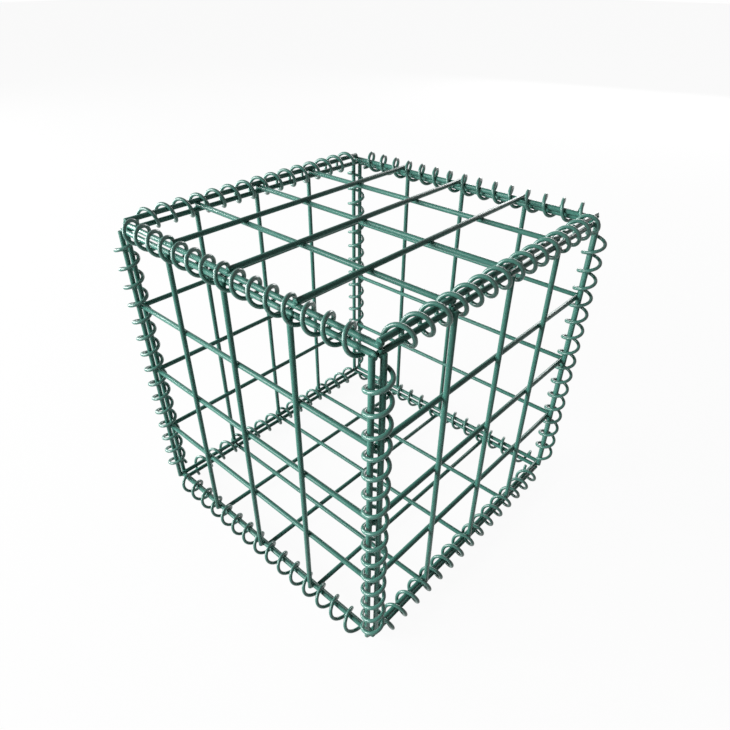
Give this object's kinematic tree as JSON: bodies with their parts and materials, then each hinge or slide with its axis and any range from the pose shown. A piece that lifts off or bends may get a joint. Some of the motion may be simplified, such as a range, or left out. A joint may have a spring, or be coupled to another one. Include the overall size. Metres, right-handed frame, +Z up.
{
  "type": "empty gabion basket",
  "caption": "Empty cube gabion basket of green PVC-coated welded mesh panels, bound along every edge by wire spirals, ready to be filled with stone.",
  "frame": {"origin": "centre of the base, on the ground that the base spirals rest on", "axes": "+Z up, -Y out of the front panel, +X out of the right panel"},
  "size_m": [0.3292, 0.3308, 0.3306],
  "materials": {
    "mesh_wire": "glossy sea-green PVC coat on welded steel wire",
    "spiral_wire": "glossy sea-green PVC coat on coiled steel wire"
  },
  "bodies": {
    "root": {"front_panel": "mesh_wire", "right_panel": "mesh_wire", "back_panel": "mesh_wire", "left_panel": "mesh_wire", "lid_panel": "mesh_wire", "base_panel": "mesh_wire", "lid_front_spiral": "spiral_wire", "lid_right_spiral": "spiral_wire", "lid_back_spiral": "spiral_wire", "lid_left_spiral": "spiral_wire", "base_front_spiral": "spiral_wire", "base_right_spiral": "spiral_wire", "base_back_spiral": "spiral_wire", "base_left_spiral": "spiral_wire", "front_left_corner_spiral": "spiral_wire", "front_right_corner_spiral": "spiral_wire", "back_left_corner_spiral": "spiral_wire", "back_right_corner_spiral": "spiral_wire"}
  },
  "joints": []
}
